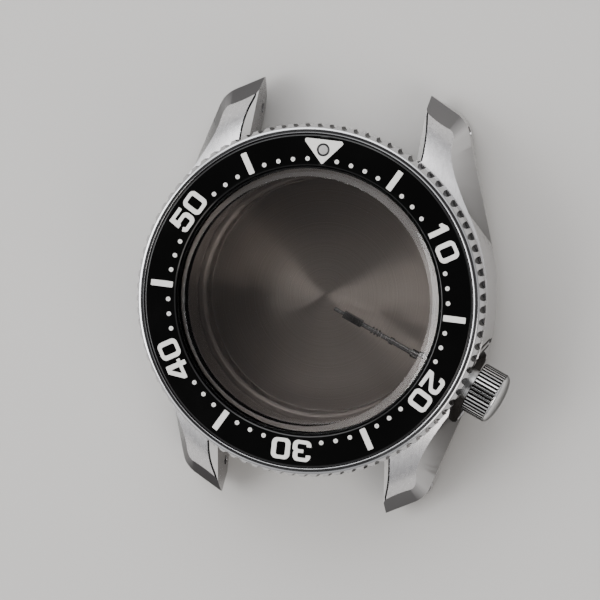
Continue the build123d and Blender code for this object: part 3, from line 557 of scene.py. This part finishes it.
def case_finish(centre, normal):
    """Finish of a face of the midcase, from where it is and how it faces."""
    on_platform = normal.z > 0.9 and abs(centre.z - PLATFORM) < 0.1
    if math.hypot(centre.x, centre.y) < TURNED_RADIUS and not on_platform:
        return BORE
    if normal.z < -0.3:
        return WALL
    inward = Vector((math.copysign(1, centre.x) * normal.x,
                     math.copysign(1, centre.y) * normal.y, normal.z))
    if inward.dot(bevel_normal) > 0.999:
        return INNER_BEVEL
    if abs(normal.x) > 0.99 and abs(abs(centre.x) - LUG_GAP / 2) < 0.05:
        return WALL
    if normal.z > 0.6:
        return TOP
    # Faces of the crown recess take the near-black recess colour: painted shade.
    along = centre.x * CROWN_WAY.x + centre.y * CROWN_WAY.y
    beside = math.hypot(centre.y * CROWN_WAY.x - centre.x * CROWN_WAY.y, centre.z - CROWN_HEIGHT)
    depth = along - SCOOP_REACH
    off_wall = beside - SCOOP_RADIUS - SCOOP_SLOPE * depth
    if depth > -0.05 and beside < SCOOP_MOUTH + 0.1 and min(abs(depth), abs(off_wall)) < 0.1:
        return RECESS_SHADE
    return BEVEL if normal.z > 0.04 else FLANK


for face in case.data.polygons:
    face.material_index = case_finish(face.center / MM, face.normal)

# A narrow chamfer parts the brushed top from the inner bevel; its near-black colour is a painted
# shade line.
work = bmesh.new()
work.from_mesh(case.data)
meeting = [edge for edge in work.edges
           if sorted(face.material_index for face in edge.link_faces) == [TOP, INNER_BEVEL]]
bmesh.ops.bevel(work, geom=meeting, offset=0.15 * MM, segments=1, affect="EDGES",
                material=CHAMFER_SHADE)
work.to_mesh(case.data)
work.free()
finish_piece(case, "case", "case_steel", "midcase", angle=20)

# ---------------------------------------------------------------- crystal
crystal = turned("sapphire_glass", [
    (0, 11.3), (15.13, 11.3), (15.25, 11.42), (15.25, 13.60), (15.2, 13.67), (14.42, 14.36),
    (14.38, 14.39), (14.3, 14.4), (0, 14.4)], 360)
use_materials(crystal, sapphire)
finish_piece(crystal, "case", "sapphire", "crystal", angle=20)

# ---------------------------------------------------------------- bezel
SCALLOPS = 90
SCALLOP_PITCH = 2 * math.pi / SCALLOPS
SCALLOP_REACH = 20.46        # of a scallop's centre from the case axis
SCALLOP_RADIUS = 0.44

bezel = turned("bezel_scalloped", [
    (16.97, 11.25), (17.3, 11.25), (17.3, 10.9), (18.8, 10.9), (18.8, 11.25), (19.1, 11.25),
    (19.1, 10.7), (20.2, 10.7), (20.4, 10.9), (20.4, 12.95), (20.06, 13.74), (20.0, 13.82),
    (19.93, 13.88), (19.83, 13.925), (19.72, 13.95), (19.62, 13.95), (19.42, 13.95),
    (19.37, 13.93), (19.34, 13.9), (19.32, 13.85), (19.32, 13.6), (19.32, 13.0), (16.97, 13.0),
    (16.97, 12.53), (17.22, 12.53), (17.22, 11.37), (16.97, 11.37)], 720)


def scallop(index):
    """Round cutter of one scallop in the bezel's edge."""
    angle = 2 * math.pi * index / SCALLOPS
    centre = (SCALLOP_REACH * math.cos(angle), SCALLOP_REACH * math.sin(angle))
    return prism("scallop", arc(centre, SCALLOP_RADIUS, 0, 352, 44), 10.0, 14.5)


combine(bezel, join("scallops", [scallop(i) for i in range(SCALLOPS)]))
use_materials(bezel, bezel_polish, scallop_cut_painted_shade)
# Faces inside the scallops take the darker steel: painted shade.
for face in bezel.data.polygons:
    spot = face.center / MM
    nearest = round(math.atan2(spot.y, spot.x) / SCALLOP_PITCH) * SCALLOP_PITCH
    apart = math.hypot(spot.x - SCALLOP_REACH * math.cos(nearest),
                       spot.y - SCALLOP_REACH * math.sin(nearest))
    in_scallop = abs(apart - SCALLOP_RADIUS) < 0.02 and 10.2 < spot.z < 13.95
    face.material_index = int(in_scallop and abs(face.normal.z) < 0.3)
finish_piece(bezel, "bezel", "bezel_steel", "bezel_ring", angle=22)

insert = turned("bezel_black", [
    (15.45, 13.0), (19.3, 13.0), (19.3, 13.75), (19.26, 13.80), (19.09, 13.96),
    (19.0, INSERT_TOP), (15.75, INSERT_TOP), (15.66, 13.96), (15.49, 13.80), (15.45, 13.75)], 360)
combine(insert, turned("cup_hole", [(0, 13.3), (0.74, 13.3), (0.74, 15), (0, 15)], 64, PIP_FRAME))
use_materials(insert, black_gloss)
finish_piece(insert, "bezel", "insert_ceramic", "bezel_insert", angle=25)


# ---------------------------------------------------------------- marks on the insert
def flat_shape(loops, height):
    """Mesh of a filled flat outline with holes, of a small height."""
    curve = bpy.data.curves.new("mark", "CURVE")
    curve.dimensions = "2D"
    curve.fill_mode = "BOTH"
    curve.extrude = height / 2 * MM
    for loop in loops:
        spline = curve.splines.new("POLY")
        spline.points.add(len(loop) - 1)
        for point, (x, y) in zip(spline.points, loop):
            point.co = (x * MM, y * MM, 0, 1)
        spline.use_cyclic_u = True
    holder = new_object("mark", curve)
    mesh = evaluated_mesh(holder)
    bpy.data.objects.remove(holder)
    return mesh


def rounded_box(width, height, radius, centre=(0, 0)):
    """Rectangle with rounded corners."""
    x, y = width / 2 - radius, height / 2 - radius
    loop = []
    for cx, cy, start in ((x, y, 0), (-x, y, 90), (-x, -y, 180), (x, -y, 270)):
        loop += arc((centre[0] + cx, centre[1] + cy), radius, start, start + 90, 6)
    return loop


def rounded(corners):
    """Outline of a polygon from corners of (x, y, radius)."""
    loop = []
    for i, (x, y, radius) in enumerate(corners):
        after = corners[(i + 1) % len(corners)]
        loop += corner_arc(corners[i - 1][:2], (x, y), after[:2], radius, 7)
    return loop


DIGITS = {
    "0": [rounded_box(2.2, 2.46, 0.62), rounded_box(1.06, 1.58, 0.22)],
    "1": [rounded([
        (-0.28, -1.23, 0.05), (0.33, -1.23, 0.05), (0.25, 1.25, 0.12), (-0.17, 1.25, 0.15),
        (-0.82, 0.72, 0.12), (-0.74, 0.33, 0.08), (-0.31, 0.45, 0.03)])],
    "2": [rounded([
        (-1.08, 0.42, 0.05), (-1.08, 1.23, 0.6), (1.05, 1.23, 0.62), (1.05, 0.14, 0.4),
        (-0.45, -0.78, 0.06), (1.12, -0.78, 0.04), (1.12, -1.23, 0.04), (-1.08, -1.23, 0.05),
        (-1.08, -0.62, 0.3), (0.5, 0.32, 0.12), (0.5, 0.79, 0.22), (-0.53, 0.79, 0.2),
        (-0.53, 0.42, 0.05)])],
    "3": [rounded([
        (-1.08, 0.45, 0.05), (-1.08, 1.23, 0.6), (1.0, 1.23, 0.6), (1.0, 0.22, 0.22),
        (0.88, 0.06, 0.02), (1.1, -0.1, 0.25), (1.1, -1.23, 0.6), (-1.08, -1.23, 0.6),
        (-1.08, -0.5, 0.05), (-0.53, -0.5, 0.05), (-0.53, -0.79, 0.12), (0.55, -0.79, 0.22),
        (0.55, -0.17, 0.18), (-0.2, -0.17, 0.04), (-0.2, 0.24, 0.04), (0.45, 0.24, 0.15),
        (0.45, 0.79, 0.2), (-0.53, 0.79, 0.12), (-0.53, 0.45, 0.05)])],
    "4": [rounded([
        (-1.3, -0.72, 0.08), (-1.3, -0.33, 0.12), (-0.13, 1.23, 0.1), (0.76, 1.23, 0.12),
        (0.76, -0.3, 0.04), (1.1, -0.3, 0.05), (1.1, -0.72, 0.05), (0.76, -0.72, 0.03),
        (0.76, -1.23, 0.05), (0.2, -1.23, 0.05), (0.2, -0.72, 0.03)]),
          rounded([(0.18, 0.78, 0.05), (0.18, -0.3, 0.05), (-0.62, -0.3, 0.05)])],
    "5": [rounded([
        (-1.0, 1.23, 0.06), (0.97, 1.23, 0.05), (0.97, 0.79, 0.05), (-0.44, 0.79, 0.04),
        (-0.42, 0.44, 0.05), (1.1, 0.44, 0.62), (1.1, -1.23, 0.62), (-0.85, -1.23, 0.4),
        (-1.1, -0.7, 0.05), (-0.62, -0.5, 0.05), (-0.45, -0.79, 0.1), (0.52, -0.79, 0.2),
        (0.52, 0.0, 0.2), (-0.45, 0.0, 0.06), (-0.58, -0.17, 0.03), (-1.08, -0.17, 0.05)])],
}
MARK_HEIGHT = 0.012
DOTS = [m for m in range(60) if m % 5 and (m % 10 not in (1, 9) or m in (1, 59))]
DOT_RADIUS = 0.26
DOT_REACH = 16.4             # distance of the minute dots from the case axis
BAR_WIDTH, BAR_LENGTH, BAR_CORNER = 0.70, 2.60, 0.10
BAR_REACH = 17.235
NUMERAL_REACH = 17.26
DIGIT_SHIFT = 1.24           # of each digit from the middle of its numeral
CENTRE_RADIUS = 0.08         # of the darker spot in a dot
CENTRE_HEIGHT, CENTRE_LIFT = 0.004, 0.013


def place_mark(mesh, minute, reach, shift=0.0, lift=MARK_HEIGHT / 2):
    """Mark moved to its minute on the insert: its top outwards, shift to its own right."""
    spot = (shift * MM, reach * MM, (INSERT_TOP + lift) * MM)
    mesh.transform(Matrix.Rotation(math.radians(-6 * minute), 4, "Z") @ Matrix.Translation(spot))
    return mesh


def minute_marks(minute):
    """Meshes of the marks at a minute: a dot, a bar, the digits of a numeral or none."""
    if minute in DOTS:
        dot = flat_shape([arc((0, 0), DOT_RADIUS, 0, 345, 23)], MARK_HEIGHT)
        return [place_mark(dot, minute, DOT_REACH)]
    if minute % 5 or not minute:
        return []
    if minute % 10:
        bar = flat_shape([rounded_box(BAR_WIDTH, BAR_LENGTH, BAR_CORNER)], MARK_HEIGHT)
        return [place_mark(bar, minute, BAR_REACH)]
    return [place_mark(flat_shape(DIGITS[digit], MARK_HEIGHT), minute, NUMERAL_REACH, shift)
            for digit, shift in zip(str(minute), (-DIGIT_SHIFT, DIGIT_SHIFT))]


triangle = [rounded([(-2.56, 1.18, 0.26), (2.56, 1.18, 0.26), (0.0, -1.70, 0.14)]),
            arc((0, 0), 0.76, 0, 352, 44)]
marks = merged("insert_marks", [mesh for minute in range(60) for mesh in minute_marks(minute)]
               + [place_mark(flat_shape(triangle, MARK_HEIGHT), 0, PIP_REACH)])
use_materials(marks, mark_paint)
finish_piece(marks, "bezel", "lume", angle=30)

centres = merged("dot_centres", [
    place_mark(flat_shape([arc((0, 0), CENTRE_RADIUS, 0, 330, 11)], CENTRE_HEIGHT), minute,
               DOT_REACH, lift=CENTRE_LIFT) for minute in DOTS])
use_materials(centres, lume_paint)
finish_piece(centres, "bezel", "lume", angle=30)

pip_cup = turned("pip_cup_ring", [
    (0, 13.3), (0.72, 13.3), (0.72, 13.985), (0.69, 14.0), (0.62, 14.0), (0.58, 13.97),
    (0.58, 13.44), (0, 13.44)], 64, PIP_FRAME)
use_materials(pip_cup, cup_metal)
finish_piece(pip_cup, "bezel", "cup_steel", "pip_cup", angle=25)
pip = turned("pip_lume", [
    (0, 13.44), (0.54, 13.44), (0.54, 13.98), (0.51, 14.02), (0.38, 14.036), (0, 14.04)],
    64, PIP_FRAME)
use_materials(pip, lume_paint)
finish_piece(pip, "bezel", "lume", "lume_pip", angle=40)

# ---------------------------------------------------------------- crown
GROOVES = 40
CAP_RADIUS, CAP_FOOT, CAP_RISE = 2.95, 23.9, 0.8
dome = [(CAP_RADIUS * math.cos(math.radians(90 * i / 18)),
         CAP_FOOT + CAP_RISE * math.sin(math.radians(90 * i / 18))) for i in range(18)]
shell = turned("crown_knurled", [
    (1.97, 21.4), (2.35, 21.4), (2.35, 20.95), (2.95, 20.95), (3.05, 21.05), (3.05, 23.80)] + dome
    + [(0, 24.70), (0, 24.08), (1.45, 24.08), (1.45, 22.65), (1.97, 22.65)], 240, CROWN_FRAME)


def knurl(index):
    """Cutter of one groove along the crown's edge."""
    turn = CROWN_FRAME @ Matrix.Rotation(2 * math.pi * index / GROOVES, 4, "Z")
    section = [(2.85, -0.06), (2.85, 0.06), (3.3, 0.26), (3.3, -0.26)]
    return prism("groove", section, 20.5, 23.85, turn)


combine(shell, join("grooves", [knurl(i) for i in range(GROOVES)]))
use_materials(shell, crown_metal, groove_painted_shade)
# Faces in the grooves take the near-black colour: painted shade.
for face in shell.data.polygons:
    spot = CROWN_FRAME.inverted() @ (face.center / MM)
    in_groove = 2.6 < math.hypot(spot.x, spot.y) < 3.035 and 21.1 < spot.z < 23.85
    face.material_index = int(in_groove)
finish_piece(shell, "crown", "crown_steel", "crown_shell", angle=22)

# ---------------------------------------------------------------- stem
stem_profile = [(0, 2.45), (0.16, 2.45), (0.22, 2.52), (0.22, 3.75), (0.27, 3.75), (0.27, 7.45)]
for ridge in range(3):
    start = 7.45 + 0.42 * ridge
    stem_profile += [(0.27, start), (0.42, start + 0.03), (0.42, start + 0.17), (0.27, start + 0.2)]
stem_profile += [
    (0.27, 9.85), (0.42, 9.88), (0.42, 10.37), (0.3, 10.4), (0.3, 12.8), (0.47, 12.8),
    (0.5, 12.85), (0.5, 16.35), (0.47, 16.4), (0.42, 16.4), (0.42, 22.38), (0, 22.38)]
stem = turned("stem_turned", stem_profile, 48, CROWN_FRAME)
combine(stem, prism("square", rounded_box(0.84, 0.84, 0.06), 3.75, 6.15, CROWN_FRAME), "UNION")
use_materials(stem, stem_painted_shade)
finish_piece(stem, "stem", "stem_steel", "winding_stem", angle=25)

# ---------------------------------------------------------------- back
NOTCHES = 6
back = turned("back_turned", [
    (0, 0), (14.55, 0), (14.75, 0.15), (16.87, 0.15), (16.95, 0.2), (17.45, 0.7), (17.5, 0.8),
    (17.5, 1.8), (16.38, 1.8), (16.38, 4.5), (16.33, 4.55), (14.2, 4.55), (14.12, 4.52),
    (13.78, 4.18), (13.75, 4.1), (13.75, 2.0), (13.7, 1.85), (13.55, 1.8), (0, 1.8)], 360)


def notch(index):
    """Cutter of one notch for the opening tool."""
    turn = Matrix.Rotation(2 * math.pi * index / NOTCHES, 4, "Z")
    return prism("notch", rounded_box(1.6, 2.6, 0.2, (16.8, 0)), -0.5, 0.8, turn)


combine(back, join("notches", [notch(i) for i in range(NOTCHES)]))
use_materials(back, caseback_painted_shade)
finish_piece(back, "back", "back_steel", "caseback", angle=25)

# ---------------------------------------------------------------- CAD nodes that stay
KEPT = (
    (rubber, ("crystal_gasket", "bezel_gasket", "tube_gasket", "crown_gasket", "caseback_gasket")),
    (spring_metal, ("click_spring", "crown_spring")),
    (turned_metal, ("crown_tube", "crown_core", "crown_sleeve", "spring_washer")),
)
for item, names in KEPT:
    for name in names:
        use_materials(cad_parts[name], item)

# ---------------------------------------------------------------- floor, lights and camera
floor_material = bpy.data.materials.new("pale floor")
floor_material.use_nodes = True
floor_shader = floor_material.node_tree.nodes["Principled BSDF"]
floor_shader.inputs["Base Color"].default_value = (0.52, 0.51, 0.495, 1)
floor_shader.inputs["Roughness"].default_value = 0.85
FLOOR_REACH, FLOOR_HEIGHT = 900, -0.01
floor_corners = [(x * FLOOR_REACH, y * FLOOR_REACH, FLOOR_HEIGHT)
                 for x, y in ((-1, -1), (1, -1), (1, 1), (-1, 1))]
floor = mesh_object("floor", floor_corners, [(0, 1, 2, 3)])
use_materials(floor, floor_material)

world = bpy.data.worlds.new("studio")
world.use_nodes = True
bpy.context.scene.world = world
sky_tree = world.node_tree
where = node(sky_tree, "ShaderNodeTexCoord").outputs["Generated"]
sky_height = node(sky_tree, "ShaderNodeSeparateXYZ", {"Vector": where}).outputs["Z"]


def sky(levels):
    """Grey ramp over the height of the sky, from pairs of height and level."""
    ramp = node(sky_tree, "ShaderNodeValToRGB", {"Fac": sky_height})
    stops = ramp.color_ramp.elements
    for index, (height, level) in enumerate(levels):
        stop = stops[index] if index < 2 else stops.new(height)
        stop.position = height
        stop.color = (level, level, level * 1.01, 1)
    return ramp.outputs["Color"]


# The sky is brighter towards 11 o'clock.
facing_11 = node(sky_tree, "ShaderNodeVectorMath", {0: where}, operation="DOT_PRODUCT")
facing_11.inputs[1].default_value = (-0.74, 0.67, 0.0)
towards_11 = node(sky_tree, "ShaderNodeMapRange", {"Value": facing_11.outputs["Value"]},
                  interpolation_type="SMOOTHSTEP", From_Min=-0.35, From_Max=0.45)
plain_sky = sky([(0.0, 0.16), (0.93, 0.03), (0.45, 0.24), (0.80, 0.30), (0.88, 0.18)])
bright_sky = sky([(0.0, 0.20), (0.94, 0.02), (0.30, 0.42), (0.55, 0.70), (0.72, 1.0), (0.86, 1.0)])
background = sky_tree.nodes["Background"]
sky_tree.links.new(mixed(sky_tree, towards_11.outputs[0], plain_sky, bright_sky),
                   background.inputs["Color"])
background.inputs["Strength"].default_value = 2.4


def softbox(name, place, size, power, colour=(1, 1, 1)):
    """Area light at a place in millimetres, facing the case."""
    light = bpy.data.lights.new(name, "AREA")
    light.shape = "RECTANGLE"
    light.size, light.size_y = size[0] * MM, size[1] * MM
    light.energy = power
    light.color = colour
    holder = new_object(name, light)
    holder.location = Vector(place) * MM
    holder.rotation_euler = (-Vector(place)).to_track_quat("-Z", "Y").to_euler()


softbox("window", (-150, 520, 420), (700, 420), 1.8, (0.97, 0.98, 1.0))
softbox("side", (-520, -45, 480), (420, 420), 3.0)
softbox("fill", (400, -260, 460), (380, 380), 1.4, (1.0, 0.95, 0.90))

# The view was fitted to the ring of minute dots: a turn about a vector whose length is the angle
# in degrees, and an offset in radii of that ring. Case and bezel stand at slightly different
# angles in the photograph, and half of the difference goes into the camera.
VIEW_TURN = Vector((4.49207079, -11.18965075, -6.94278925))
VIEW_OFFSET = Vector((0.0494936947, -0.00867170609, -26.618883))
HALF_YAW = math.radians(-0.385)
camera_data = bpy.data.cameras.new("camera")
camera_data.sensor_width = 36.0
camera_data.lens = 228.0
camera_data.clip_start = 0.01
camera_data.clip_end = 10.0
camera = new_object("camera", camera_data)
view = Matrix.Rotation(math.radians(VIEW_TURN.length), 3, VIEW_TURN.normalized()).transposed()
half_yaw = Matrix.Rotation(HALF_YAW, 3, "Z")
camera_place = half_yaw @ (view @ -(VIEW_OFFSET * DOT_REACH)) + Vector((0, 0, INSERT_TOP))
camera.matrix_world = Matrix.Translation(camera_place * MM) @ (half_yaw @ view).to_4x4()
bpy.context.scene.camera = camera
